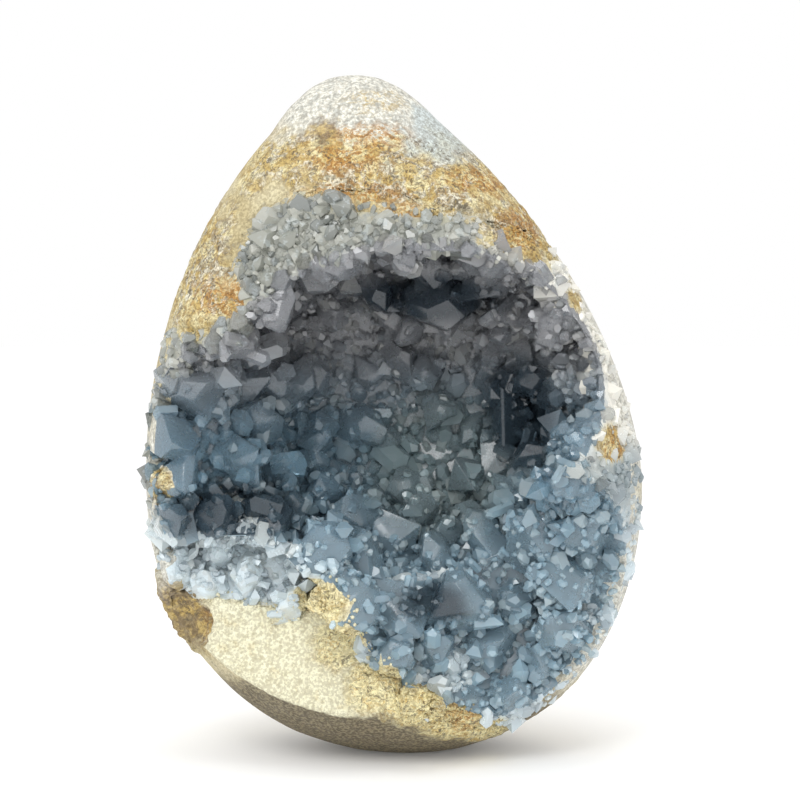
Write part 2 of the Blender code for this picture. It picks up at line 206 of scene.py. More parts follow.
# shader maths written as plain sums
class Wire:
    def __init__(self, finish, socket):
        self.finish = finish
        self.socket = socket

    def sum(self, operation, *others):
        return self.finish.node("ShaderNodeMath", {"operation": operation}, dict(enumerate((self, *others))))

    def __add__(self, other):
        return self.sum("ADD", other)

    def __mul__(self, other):
        return self.sum("MULTIPLY", other)

    def __rsub__(self, other):
        return self.finish.node("ShaderNodeMath", {"operation": "SUBTRACT"}, {0: other, 1: self})

    __radd__ = __add__
    __rmul__ = __mul__

    def larger(self, other):
        return self.sum("MAXIMUM", other)

    def between(self, low, high):
        # 0 at low, 1 at high, smooth between
        return self.finish.node("ShaderNodeMapRange", {"interpolation_type": "SMOOTHSTEP"},
                                {0: self, 1: low, 2: high, 3: 0.0, 4: 1.0})


class Finish:
    def __init__(self, name):
        self.material = bpy.data.materials.new(name)
        self.material.use_nodes = True
        self.nodes = self.material.node_tree.nodes
        self.links = self.material.node_tree.links
        self.nodes.clear()
        self.here = self.node("ShaderNodeTexCoord", out="Object")

    def node(self, kind, settings=None, sockets=None, out=0):
        # any node: its settings first, then the values or links of its sockets
        made = self.nodes.new(kind)
        for key, value in (settings or {}).items():
            setattr(made, key, value)
        for key, value in (sockets or {}).items():
            if isinstance(value, Wire):
                self.links.new(value.socket, made.inputs[key])
            else:
                made.inputs[key].default_value = value
        return Wire(self, made.outputs[out]) if made.outputs else made

    def noise(self, size, detail=3.0, rough=0.55, where=None, out=0):
        # size is the width of its largest features, in metres
        return self.node("ShaderNodeTexNoise", None, {"Vector": where or self.here, "Scale": 1 / size,
                                                      "Detail": detail, "Roughness": rough}, out)

    def cells(self, size, where):
        # a different colour in each cell
        return self.node("ShaderNodeTexVoronoi", None, {"Vector": where, "Scale": 1 / size}, 1)

    def attribute(self, name):
        return self.node("ShaderNodeAttribute", {"attribute_name": name}, None, "Fac")

    def vector(self, operation, first, second, out=0):
        return self.node("ShaderNodeVectorMath", {"operation": operation}, {0: first, 1: second}, out)

    def strayed(self, reach, size):
        # the place, pushed about by noise, so that stains get ragged edges
        push = self.vector("SUBTRACT", self.noise(size, 2.0, 0.65, out=1), (0.5, 0.5, 0.5))
        return self.vector("ADD", self.here, self.vector("MULTIPLY", push, (reach, reach, reach)))

    def spot(self, where, middle, radii, soft=0.35):
        # 1 inside an ellipsoid, 0 outside
        away = self.vector("DIVIDE", self.vector("SUBTRACT", where, middle), radii)
        far = self.node("ShaderNodeVectorMath", {"operation": "LENGTH"}, {0: away}, 1)
        return far.between(1 + soft, 1 - soft)

    def spots(self, where, several, soft=0.35):
        share = self.spot(where, *several[0], soft)
        for each in several[1:]:
            share = share.larger(self.spot(where, *each, soft))
        return share

    def mix(self, share, first, second, how="MIX"):
        return self.node("ShaderNodeMix", {"data_type": "RGBA", "blend_type": how},
                         {0: share, 6: first, 7: second}, 2)

    def bump(self, height, distance, strength):
        return self.node("ShaderNodeBump", None,
                         {"Height": height, "Distance": distance, "Strength": strength})

    def part(self, where, axis):
        return self.node("ShaderNodeSeparateXYZ", None, {0: where}, axis)

    def shader(self, sockets, volume=None):
        surface = self.node("ShaderNodeBsdfPrincipled", None, sockets)
        ends = {"Surface": surface}
        if volume:
            ends["Volume"] = self.node("ShaderNodeVolumeAbsorption", None, volume)
        self.node("ShaderNodeOutputMaterial", None, ends)
        return self.material


# the flat break at the lower left: the way it faces, how far out it is that way, and its soft edge
breakPlane = dict(normal=(-0.0601, -0.9519, 0.3006), level=0.03773, starts=0.0016, full=0.0008)

# where the stains are, on the rock and on the crust: the middle and radii of soft ellipsoids
stains = dict(
    apex=(((-0.004, -0.020, 0.186), (0.036, 0.060, 0.020)),),
    apexBlue=(((0.0125, -0.024, 0.1740), (0.0095, 0.030, 0.0105)),),
    apexGold=(((-0.005, -0.020, 0.1815), (0.008, 0.020, 0.0030)),),
    yellow=(
        ((0.006, -0.034, 0.1620), (0.034, 0.030, 0.0120)),
        ((-0.026, -0.034, 0.1660), (0.020, 0.030, 0.0085)),
        ((-0.054, -0.030, 0.140), (0.010, 0.030, 0.024)),
        ((-0.046, -0.036, 0.128), (0.007, 0.030, 0.006)),
        ((0.034, -0.028, 0.146), (0.013, 0.030, 0.012)),
        ((-0.050, -0.034, 0.0415), (0.020, 0.030, 0.0045)),
    ),
    patches=(                                 # small ones on the crust itself
        ((0.059, -0.035, 0.0895), (0.0065, 0.008, 0.0050)),
        ((0.050, -0.026, 0.1280), (0.0040, 0.006, 0.0035)),
        ((-0.064, -0.028, 0.0775), (0.0050, 0.010, 0.0055)),
    ),
    sugar=(                                   # where the crust reaches the ground surface
        ((0.062, -0.018, 0.105), (0.020, 0.026, 0.040)),
        ((0.058, -0.022, 0.048), (0.022, 0.020, 0.034)),
        ((-0.066, -0.026, 0.070), (0.010, 0.016, 0.030)),
    ),
    orange=(
        ((-0.006, -0.033, 0.172), (0.013, 0.020, 0.0030)),
        ((-0.014, -0.035, 0.166), (0.010, 0.020, 0.0040)),
        ((-0.010, -0.038, 0.156), (0.013, 0.020, 0.0030)),
        ((0.002, -0.038, 0.1505), (0.006, 0.020, 0.0035)),
        ((0.024, -0.030, 0.160), (0.010, 0.020, 0.0035)),
        ((0.034, -0.028, 0.147), (0.006, 0.020, 0.0060)),
        ((-0.044, -0.038, 0.129), (0.009, 0.020, 0.0050)),
        ((-0.0495, -0.022, 0.040), (0.0035, 0.018, 0.0060)),
        ((0.019, -0.038, 0.014), (0.004, 0.020, 0.0050)),
        ((0.060, -0.036, 0.089), (0.0035, 0.020, 0.0028)),
    ),
    lowBand=(
        ((-0.0195, -0.038, 0.0470), (0.0085, 0.030, 0.0065)),
        ((-0.0150, -0.038, 0.0345), (0.0080, 0.030, 0.0080)),
        ((-0.0055, -0.038, 0.0235), (0.0085, 0.030, 0.0075)),
        ((0.0060, -0.038, 0.0180), (0.0080, 0.030, 0.0060)),
        ((0.0160, -0.034, 0.0125), (0.0085, 0.030, 0.0055)),
        ((0.0250, -0.030, 0.0090), (0.0070, 0.030, 0.0050)),
    ),
    brown=(
        ((-0.060, -0.026, 0.040), (0.011, 0.022, 0.010)),
        ((-0.019, -0.034, 0.174), (0.004, 0.015, 0.0045)),
    ),
    facet=(((-0.028, -0.038, 0.034), (0.030, 0.040, 0.026)),),
    under=(((-0.012, -0.020, 0.004), (0.075, 0.050, 0.0215)),),
)

shades = dict(
    cream=colour(218, 208, 172), tan=colour(196, 182, 140),            # the ground sides and back
    white=colour(238, 237, 226), grey=colour(140, 139, 132),
    paleGrey=colour(176, 177, 170), blueWhite=colour(200, 215, 219),
    yellow=colour(198, 172, 106), paleYellow=colour(234, 223, 174),    # the broken bands
    paleGold=colour(250, 240, 188), gold=colour(218, 184, 104),
    orange=colour(208, 158, 78), rust=colour(170, 120, 54), ochre=colour(160, 130, 72),
    facet=colour(244, 241, 212), facetShade=colour(206, 198, 162),
    brown=colour(120, 98, 66), under=colour(98, 90, 78), dark=colour(96, 88, 72),
)


def rockFinish():
    finish = Finish("groundRock")
    where = finish.strayed(0.022, 0.010)
    near = finish.strayed(0.008, 0.0035)
    streaked = finish.vector("MULTIPLY", near, (1.0, 1.0, 2.0))
    mottle = finish.noise(0.0045, 4.0, 0.7)
    fine = finish.noise(0.0018, 3.0, 0.75)
    grain = finish.noise(0.0008, 1.0, 0.6)
    # the ground rock of the sides and back
    tint = finish.mix(finish.noise(0.022, 4.0, 0.6).between(0.40, 0.62), shades["tan"], shades["cream"])
    tint = finish.mix(mottle.between(0.52, 0.70) * 0.5, tint, shades["grey"])
    tint = finish.mix(finish.noise(0.030, 3.0, 0.6, where).between(0.56, 0.70) * 0.6, tint, shades["yellow"])
    # the white granular tip
    speckle = finish.mix(fine.between(0.42, 0.60) * 0.75, shades["white"], shades["paleGrey"])
    tint = finish.mix(finish.spots(where, stains["apex"] + stains["sugar"]), tint, speckle)
    # the smooth underside, darker: partly its greyer ground surface, partly painted shade where it faces
    # down
    under = finish.spots(near, stains["under"], 0.18)
    smooth = finish.mix(grain.between(0.3, 0.7) * 0.35, shades["under"], shades["tan"])
    tint = finish.mix(under * 0.9, tint, smooth)
    # the broken yellow band: pale, white and grey grains, ochre streaks, then orange stains
    yellow = finish.spots(where, stains["yellow"])
    yellow = yellow.larger(finish.spots(near, stains["lowBand"] + stains["patches"]))
    band = finish.mix(mottle.between(0.40, 0.58), shades["paleYellow"], shades["yellow"])
    granular = finish.mix(fine.between(0.44, 0.56), shades["white"], shades["grey"])
    band = finish.mix(finish.noise(0.009, 4.0, 0.7, where).between(0.49, 0.56) * 0.7, band, granular)
    streaks = finish.noise(0.0030, 4.0, 0.8, streaked)
    band = finish.mix(streaks.between(0.51, 0.58) * 0.75, band, shades["ochre"])
    tint = finish.mix(yellow * 0.95, tint, band)
    gold = finish.mix(streaks.between(0.50, 0.62) * 0.8, shades["paleGold"], shades["gold"])
    low = finish.spots(near, stains["lowBand"])
    tint = finish.mix(low * 0.8, tint, gold)
    orange = finish.spots(near, stains["orange"], 0.7)
    deep = finish.mix(streaks.between(0.48, 0.58), shades["orange"], shades["rust"])
    tint = finish.mix(orange * streaks.between(0.44, 0.52) * 0.85, tint, deep)
    # near the tip: a little yellow, and a blue-white spot; then the brown spots
    apexGold = finish.spots(near, stains["apexGold"], 0.6) * streaks.between(0.46, 0.56)
    tint = finish.mix(apexGold * 0.7, tint, shades["yellow"])
    blue = finish.mix(fine.between(0.44, 0.62) * 0.4, shades["blueWhite"], shades["paleGrey"])
    tint = finish.mix(finish.spots(where, stains["apexBlue"]) * 0.7, tint, blue)
    brown = finish.mix(mottle.between(0.45, 0.58), shades["brown"], shades["yellow"])
    tint = finish.mix(finish.spots(near, stains["brown"]) * 0.8, tint, brown)
    # the pale break above the underside: what lies on its plane
    plane = finish.vector("DOT_PRODUCT", finish.strayed(0.0016, 0.004), breakPlane["normal"], 1)
    level = breakPlane["level"]
    facet = plane.between(level - breakPlane["starts"], level - breakPlane["full"])
    facet = facet * finish.spots(near, stains["facet"], 0.10) * (1 - 0.85 * low)
    pale = finish.mix(fine.between(0.46, 0.64) * 0.4, shades["facet"], shades["facetShade"])
    pale = finish.mix(mottle.between(0.54, 0.66) * 0.28, pale, shades["yellow"])
    tint = finish.mix(facet * 0.95, tint, pale)
    # dark specks for small pits, painted shade in the holes, fewer on the ground surface; and grains all
    # over
    pits = finish.noise(0.0020, 3.0, 0.8, streaked).between(0.49, 0.38)
    pits = pits * (0.2 + 0.8 * yellow) * (1 - 0.8 * facet)
    tint = finish.mix(pits * 0.8, tint, shades["dark"])
    tint = finish.mix(grain.between(0.62, 0.40) * 0.35, tint, shades["brown"], "MULTIPLY")
    # behind the crystals, where it shows through them: painted the crystals' dark shade colour
    tint = finish.mix(finish.attribute("inner"), tint, crystalLooks["smoke"])
    rough = 0.65 + 0.25 * mottle.between(0.3, 0.7)
    height = finish.noise(0.0022, 4.0, 0.75) + 0.4 * grain
    return finish.shader({"Base Color": tint, "Roughness": rough, "IOR": 1.5,
                          "Normal": finish.bump(height, 0.0010, 0.9)})


# where the crystals are a little green, and where painted shade darkens them: the dark pockets and the
# hollow under the rim
greenish = ((0.014, 0.01, 0.080), (0.022, 0.05, 0.020))
shadeSpots = (
    ((-0.045, -0.018, 0.0690), (0.020, 0.030, 0.0085)),
    ((0.036, -0.004, 0.0960), (0.012, 0.030, 0.0150)),
    ((0.008, -0.010, 0.1280), (0.022, 0.030, 0.0065)),
    ((0.010, -0.040, 0.0460), (0.010, 0.020, 0.0060)),
)

crystalLooks = dict(
    high=colour(206, 207, 210),       # deep under the roof, grey
    middle=colour(172, 209, 229),
    low=colour(200, 234, 251),        # the bowl and the shelf, light blue
    green=colour(216, 230, 220),
    # the dark of painted shade, for the shaded spots in the crystals and for the rock seen through them
    smoke=colour(66, 84, 98),
    shaded=colour(90, 102, 116),
    veil=colour(222, 236, 242),
    rim=colour(162, 164, 155),        # the sugary rim, grey at the left and top
    rightRim=colour(248, 245, 234),
    lowRim=colour(164, 176, 179),
    absorb=colour(105, 160, 195),
)


def bodyTint(finish, where):
    # from the grey roof down to the light blue bowl: lighter low down, partly the crystals' own colour,
    # partly painted light falling from above
    level = finish.part(where, 2)
    tint = finish.mix(level.between(0.052, 0.080), crystalLooks["low"], crystalLooks["middle"])
    tint = finish.mix(level.between(0.086, 0.118), tint, crystalLooks["high"])
    return finish.mix(finish.spot(where, *greenish) * 0.5, tint, crystalLooks["green"])


def rimTint(finish, where):
    # the sugary rim, whiter at the right, and whiter near the shelf: partly its own colour, partly painted
    # light falling from above
    level = finish.part(where, 2)
    right = finish.mix(level.between(0.094, 0.082), crystalLooks["rightRim"], crystalLooks["lowRim"])
    tint = finish.mix(finish.part(where, 0).between(0.012, 0.040), crystalLooks["rim"], right)
    return finish.mix(level.between(0.076, 0.060), tint, crystalLooks["veil"])


def crystalFinish(name, clear, roughness, thick, veiled=0.25):
    # clear: the transmitted share; thick: how strongly the body absorbs; veiled: the share of milky veils
    finish = Finish(name)
    where = finish.strayed(0.008, 0.012)
    tone = finish.attribute("tone")           # differs from crystal to crystal
    pale = finish.attribute("pale")           # 1 on the rim
    tint = finish.mix(pale, bodyTint(finish, where), rimTint(finish, where))
    tint = finish.mix(tone.between(0.55, 1.0) * 0.32, tint, shades["white"])
    veil = finish.noise(0.0030, 2.0, 0.7).between(0.50, 0.66)
    tint = finish.mix(veil * veiled, tint, crystalLooks["veil"])
    # low tones darker: at random on the small crystals; on the wall, whose tone is low, painted shade
    tint = finish.mix(tone.between(0.45, 0.0) * 0.35, tint, crystalLooks["shaded"])
    # painted shade: the dark pockets and the hollow under the rim, darkened in the crystals' colour
    tint = finish.mix(finish.spots(where, shadeSpots) * (1 - pale) * 0.9, tint, crystalLooks["smoke"])
    height = finish.noise(0.0016, 1.0, 0.6)
    return finish.shader(
        {"Base Color": tint, "Roughness": roughness + 0.16 * veil, "IOR": 1.62, "Transmission Weight": clear,
         "Normal": finish.bump(height, 0.00008, 0.6)},
        {"Color": crystalLooks["absorb"], "Density": thick} if thick else None)


def crustFinish():
    # the body of the crust round the open space: whitish grains, with rock stains on it
    finish = Finish("groundCelestite")
    where = finish.strayed(0.008, 0.012)
    near = finish.strayed(0.004, 0.004)
    lining = finish.spots(near, hollows, 0.05)
    grains = finish.part(finish.cells(0.0024, near), 0)
    white = finish.mix(grains.between(0.35, 0.95) * 0.4, rimTint(finish, where), shades["paleGrey"])
    tint = finish.mix(lining, white, bodyTint(finish, where))
    share = finish.spots(near, stains["yellow"] + stains["lowBand"] + stains["patches"])
    yellow = share * finish.noise(0.003, 3.0).between(0.36, 0.50)
    stain = finish.mix(finish.noise(0.004, 4.0).between(0.45, 0.6), shades["paleYellow"], shades["yellow"])
    tint = finish.mix(yellow * 0.85, tint, stain)
    return finish.shader({"Base Color": tint, "Roughness": 0.30 + 0.35 * yellow, "IOR": 1.62,
                          "Transmission Weight": 0.15,
                          "Normal": finish.bump(finish.noise(0.0014, 3.0, 0.7), 0.0008, 0.8)})


def addDisplace(obj, group, height, size):
    texture = bpy.data.textures.new(f"{obj.name}{group}{size}", "CLOUDS")
    texture.noise_scale = size
    modifier = obj.modifiers.new(f"{group} {size}", "DISPLACE")
    modifier.texture = texture
    modifier.texture_coords = "LOCAL"
    modifier.strength = height
    modifier.mid_level = 0.5
    modifier.vertex_group = group


def addBroken(obj):
    # lumps and grains on the rough, broken areas
    addDisplace(obj, "rough", rockSettings["lumpHeight"], rockSettings["lumpSize"])
    addDisplace(obj, "rough", rockSettings["grainHeight"], rockSettings["grainSize"])


# the rock
rockSettings = dict(
    longest=0.0015, passes=5,                 # edges longer than this are halved, so many times
    smoothing=60, smoothFactor=0.5,
    groundFade=(0.0020, 0.0060),              # distance from the crust at which the ground surface starts
    groundHeight=0.00035, groundSize=0.0060,
    lumpHeight=0.0026, lumpSize=0.0042,       # the rough, broken areas
    grainHeight=0.0014, grainSize=0.0016,
    frontFade=(0.0, -0.010), rimRough=0.6,    # in front, the rock beside the crust is rough too
    flatGround=0.8, flatRough=0.6,            # how much of both the flat break takes away
    seamReach=0.0024, seamShare=1.15,         # rock nearer to the crust than this is drawn over it
    seamFront=(-0.004, -0.012), seamOut=(0.92, 0.96),
    innerFade=(0.0014, 0.0007),               # elsewhere, rock this near shows through the crystals
    ramp=0.45, rampFoot=0.001, rampAbove=0.100, rampFront=-0.012,
    rampSeed=3, rampSamples=30000, rampDepth=-0.0010, rampFacing=0.3,
    rough=(
        ((-0.002, -0.034, 0.156), (0.050, 0.030, 0.014)),
        ((-0.052, -0.030, 0.140), (0.014, 0.030, 0.026)),
        ((0.034, -0.028, 0.146), (0.014, 0.030, 0.016)),
        *stains["lowBand"],
        ((-0.059, -0.026, 0.040), (0.013, 0.026, 0.012)),
    ),
)


def refineRock(rock):
    selectOnly(rock)
    for _ in range(rockSettings["passes"]):
        clearChoice()
        corners = rock.data.vertices
        for edge in rock.data.edges:
            first, second = (corners[index].co for index in edge.vertices)
            edge.select = (first - second).length > rockSettings["longest"]
        bpy.ops.object.mode_set(mode="EDIT")
        bpy.ops.mesh.select_mode(type="EDGE")
        bpy.ops.mesh.subdivide(number_cuts=1)
        bpy.ops.mesh.select_all(action="SELECT")
        bpy.ops.mesh.quads_convert_to_tris()
        bpy.ops.object.mode_set(mode="OBJECT")


def groupRock(rock, crust):
    # which parts are ground smooth and which are rough
    ground = rock.vertex_groups.new(name="ground")
    rough = rock.vertex_groups.new(name="rough")
    starts = breakPlane["level"] - breakPlane["starts"]
    full = breakPlane["level"] - breakPlane["full"]
    for vert in rock.data.vertices:
        share = fade(crust.find_nearest(vert.co)[3], *rockSettings["groundFade"])
        broken = max(spotShare(vert.co, spot) for spot in rockSettings["rough"])
        flat = fade(vert.co.dot(Vector(breakPlane["normal"])), starts, full)
        ground.add([vert.index], share * (1 - rockSettings["flatGround"] * flat), "REPLACE")
        beside = fade(vert.co.y, *rockSettings["frontFade"]) * (1 - share) * rockSettings["rimRough"]
        rough.add([vert.index], max(broken, beside) * (1 - rockSettings["flatRough"] * flat), "REPLACE")


def lowerToCrust(rock):
    # the break runs on from the crust: near it the rock is no higher than a ramp up from it
    samples = Ground(rockSettings["rampSeed"])
    places = []
    for _ in range(rockSettings["rampSamples"]):
        point, normal = samples.place()
        out = Vector((point.x, point.y - egg["middleY"], 0.0)).normalized()
        if point.y < rockSettings["rampFront"] and hollowDepth(point) < rockSettings["rampDepth"] \
                and normal.dot(out) > rockSettings["rampFacing"] and not samples.hidden(point, normal):
            places.append(point)
    tree = KDTree(len(places))
    for index, point in enumerate(places):
        tree.insert(point, index)
    tree.balance()
    for vert in rock.data.vertices:
        if vert.co.y > rockSettings["rampFront"] or vert.co.z < rockSettings["rampAbove"]:
            continue
        near, _, far = tree.find(vert.co)
        rise = max(0.0, far - rockSettings["rampFoot"]) * rockSettings["ramp"]
        ceiling = pastEgg(near) + rise / egg["halfWidth"]
        share = pastEgg(vert.co)
        if share > ceiling:
            above = max(0.0, vert.co.z - egg["widest"])
            lean = egg["lean"] * above / (egg["height"] - egg["widest"])
            middle = Vector((lean, egg["middleY"], vert.co.z))
            vert.co = middle + (vert.co - middle) * ceiling / share


def closeSeam(rock, crust):
    # the rock closes over the thin seam to the crust
    inner = []
    for vert in rock.data.vertices:
        near, _, _, far = crust.find_nearest(vert.co)
        front = max(fade(vert.co.y, *rockSettings["seamFront"]),
                    fade(pastEgg(vert.co), *rockSettings["seamOut"]))
        inner.append(fade(far, *rockSettings["innerFade"]) * (1 - front))
        if far < rockSettings["seamReach"]:
            share = front * fade(far, rockSettings["seamReach"], rockSettings["seamReach"] / 3)
            vert.co = vert.co.lerp(near, rockSettings["seamShare"] * share)
    addFloats(rock, "inner", inner)


def makeRock():
    rock = copyOf(rockNode, "rockShell")
    crust = treeOf(crustNode)
    refineRock(rock)
    groupRock(rock, crust)
    lowerToCrust(rock)
    smooth = rock.modifiers.new("smooth", "SMOOTH")
    smooth.factor = rockSettings["smoothFactor"]
    smooth.iterations = rockSettings["smoothing"]
    smooth.vertex_group = "ground"
    applyAll(rock)
    toEgg(rock)
    closeSeam(rock, crust)
    addBroken(rock)
    addDisplace(rock, "ground", rockSettings["groundHeight"], rockSettings["groundSize"])
    applyAll(rock)
    for vert in rock.data.vertices:           # the base stays flat where it stands
        vert.co.z = max(vert.co.z, 0.0)
    selectOnly(rock)
    bpy.ops.object.shade_smooth()
    rock.data.materials.append(rockFinish())
    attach(rock, "root")
    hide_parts("rock_matrix")
    print("rock", len(rock.data.polygons))


# the crust, with the large crystals that are in the solid
wallSettings = dict(
    flatWithin=2.0,                           # degrees: faces nearer to one plane than this are one face
    passes=3, finerFrom=0.1,                  # faces with this much yellow rock are halved, so many times
    roughFade=(0.2, 0.7), rockFrom=0.5,       # the same share, for the relief and for the material
    bevel=0.00014, bevelFrom=24.0, sharpFrom=20.0,
    strayMost=0.0022,                         # how far from the crust a corner may be
    merge=0.000005,
    groundFrom=0.94, rockBelow=0.34,          # the ground surface, and how far in front it is still rock
    grainyDepth=-0.0008, grainyFront=-0.010,  # the rim round the open space
    # a low tone, so the finish paints the crust wall in its darker shaded colour: painted shade at the back
    # of the open space
    tone=0.05, pale=0.0,
    finish=dict(clear=0.66, roughness=0.20, thick=24.0, veiled=0.0),
)


def refineWall(wall):
    selectOnly(wall)
    editMesh("SELECT")
    bpy.ops.mesh.dissolve_limited(angle_limit=math.radians(wallSettings["flatWithin"]))
    bpy.ops.object.mode_set(mode="OBJECT")
    # finer where yellow rock covers the crust, and on the ground surface
    for _ in range(wallSettings["passes"]):
        clearChoice()
        for face in wall.data.polygons:
            face.select = pastEgg(face.center) > wallSettings["groundFrom"] \
                or stained(face.center, hollowDepth(face.center)) > wallSettings["finerFrom"]
        bpy.ops.object.mode_set(mode="EDIT")
        bpy.ops.mesh.select_mode(type="FACE")
        bpy.ops.mesh.quads_convert_to_tris()
        bpy.ops.mesh.subdivide(number_cuts=1)
        bpy.ops.mesh.quads_convert_to_tris()
        bpy.ops.object.mode_set(mode="OBJECT")


def shapeWall(wall):
    # bevelled edges on the crystals, relief on the yellow rock
    rough = wall.vertex_groups.new(name="rough")
    for vert in wall.data.vertices:
        share = stained(vert.co, hollowDepth(vert.co))
        rough.add([vert.index], fade(share, *wallSettings["roughFade"]), "REPLACE")
    bevel = wall.modifiers.new("bevel", "BEVEL")
    bevel.width = wallSettings["bevel"]
    bevel.segments = 1
    bevel.limit_method = "ANGLE"
    bevel.angle_limit = math.radians(wallSettings["bevelFrom"])
    bevel.use_clamp_overlap = False
    bevel.vertex_group = "rough"
    bevel.invert_vertex_group = True
    addBroken(wall)
    triangulate = wall.modifiers.new("triangulate", "TRIANGULATE")
    triangulate.min_vertices = 5
    applyAll(wall)
    # a bevel that ran out along a thin sliver is put back on the crust
    crust = treeOf(crustNode)
    for vert in wall.data.vertices:
        near, _, _, far = crust.find_nearest(vert.co)
        if far > wallSettings["strayMost"]:
            vert.co = near
    toEgg(wall)


def mendWall(wall):
    # no faces without an area
    selectOnly(wall)
    editMesh("SELECT")
    bpy.ops.mesh.remove_doubles(threshold=wallSettings["merge"])
    bpy.ops.mesh.dissolve_degenerate(threshold=wallSettings["merge"])
    bpy.ops.mesh.quads_convert_to_tris()
    bpy.ops.object.mode_set(mode="OBJECT")
    wall.data.validate()
    bpy.ops.object.shade_smooth_by_angle(angle=math.radians(wallSettings["sharpFrom"]))


def dressWall(wall):
    for name in ("tone", "pale"):
        addFloats(wall, name, [wallSettings[name]] * len(wall.data.vertices))
    wall.data.materials.append(crystalFinish("clearCelestite", **wallSettings["finish"]))
    wall.data.materials.append(crustFinish())
    wall.data.materials.append(bpy.data.materials["groundRock"])
    clear, grainy, rocky = range(3)
    for face in wall.data.polygons:
        depth = hollowDepth(face.center)
        outer = pastEgg(face.center) > wallSettings["groundFrom"]
        body = depth < wallSettings["grainyDepth"] and (outer or face.center.y < wallSettings["grainyFront"])
        side = outer and frontness(face.center) < wallSettings["rockBelow"]
        face.material_index = grainy if body else clear
        if side or stained(face.center, depth) > wallSettings["rockFrom"]:
            face.material_index = rocky


def makeWall():
    wall = copyOf(crustNode, "crustWall")
    refineWall(wall)
    shapeWall(wall)
    mendWall(wall)
    dressWall(wall)
    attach(wall, "root")
    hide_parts("crystal_crust")
    print("wall", len(wall.data.polygons))


# small crystals: a few cut one by one, then hundreds of copies in one mesh
habit = dict(
    slant=((0.789, 0.614, 0.0), (-0.789, 0.614, 0.0)),
    flat=(0.0, 1.0, 0.0),
    chisel=((0.0, 0.773, 0.635), (0.0, -0.773, 0.635)),
    end=((0.615, 0.0, 0.788), (-0.615, 0.0, 0.788)),
    root=(0.0, 0.0, -1.0), rootLength=0.45,
)

# how far each pair of faces stands from the middle, for a crystal one unit wide and its length
cuts = (
    dict(slant=0.47, flat=0.40, chisel=0.95, end=0.92, length=1.15),
    dict(slant=0.44, flat=0.34, chisel=1.00, end=1.05, length=1.40),
    dict(slant=0.40, flat=None, chisel=0.90, end=0.98, length=1.00),
    dict(slant=0.50, flat=0.30, chisel=1.02, end=0.85, length=0.90),
    dict(slant=0.38, flat=0.42, chisel=0.86, end=None, length=1.55),
    dict(slant=0.45, flat=0.45, chisel=0.80, end=0.76, length=0.80),
)


def cutCrystal(index, sizes):
    # a block cut by pairs of planes, one unit wide
    bpy.ops.object.select_all(action="DESELECT")
    bpy.ops.mesh.primitive_cube_add(size=4.0, location=(0, 0, 0))
    block = bpy.context.object
    block.name = f"crystalPattern{index}"
    planes = []
    for normal in habit["slant"]:
        planes += [(Vector(normal), sizes["slant"]), (-Vector(normal), sizes["slant"])]
    if sizes["flat"]:
        planes += [(Vector(habit["flat"]), sizes["flat"]), (-Vector(habit["flat"]), sizes["flat"])]
    for kind in ("chisel", "end"):
        if sizes[kind]:
            for normal in habit[kind]:
                planes.append((Vector(normal), normal[2] * sizes["length"] * sizes[kind]))
    planes.append((Vector(habit["root"]), habit["rootLength"]))
    bpy.ops.object.mode_set(mode="EDIT")
    for normal, distance in planes:
        bpy.ops.mesh.select_all(action="SELECT")
        bpy.ops.mesh.bisect(plane_co=normal.normalized() * distance, plane_no=normal,
                            use_fill=True, clear_outer=True)
    bpy.ops.mesh.select_all(action="SELECT")
    bpy.ops.mesh.remove_doubles(threshold=0.0005)
    bpy.ops.mesh.normals_make_consistent(inside=False)
    bpy.ops.mesh.quads_convert_to_tris()
    bpy.ops.object.mode_set(mode="OBJECT")
    shape = arraysOf(block.data)
    bpy.data.objects.remove(block)
    return shape


patterns = [cutCrystal(index, sizes) for index, sizes in enumerate(cuts)]


def joinCrystals(name, stands, finish):
    # stands: (root, direction, width, stretch, spin, pattern, tone, pale)
    points, faces, tones, pales, start = [], [], [], [], 0
    for root, way, width, stretch, spin, pattern, tone, pale in stands:
        turn = way.to_track_quat("Z", "Y").to_matrix() @ Matrix.Rotation(spin, 3, "Z")
        corners, sides = patterns[pattern]
        local = corners * numpy.array((width, width, width * stretch))
        points.append(local @ numpy.array(turn).T + numpy.array(root))
        faces.append(sides + start)
        tones += [tone] * len(corners)
        pales += [pale] * len(corners)
        start += len(corners)
    obj = joinMesh(name, points, faces, finish)
    addFloats(obj, "tone", tones)
    addFloats(obj, "pale", pales)
    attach(obj, "root")
    print(name, len(stands), "crystals", len(obj.data.polygons), "faces")


groundSettings = dict(
    lift=0.0001, hiddenWithin=0.0020,         # the crust's back has rock this near in front of it
    cell=0.004,                               # as wide as a search for neighbours
)


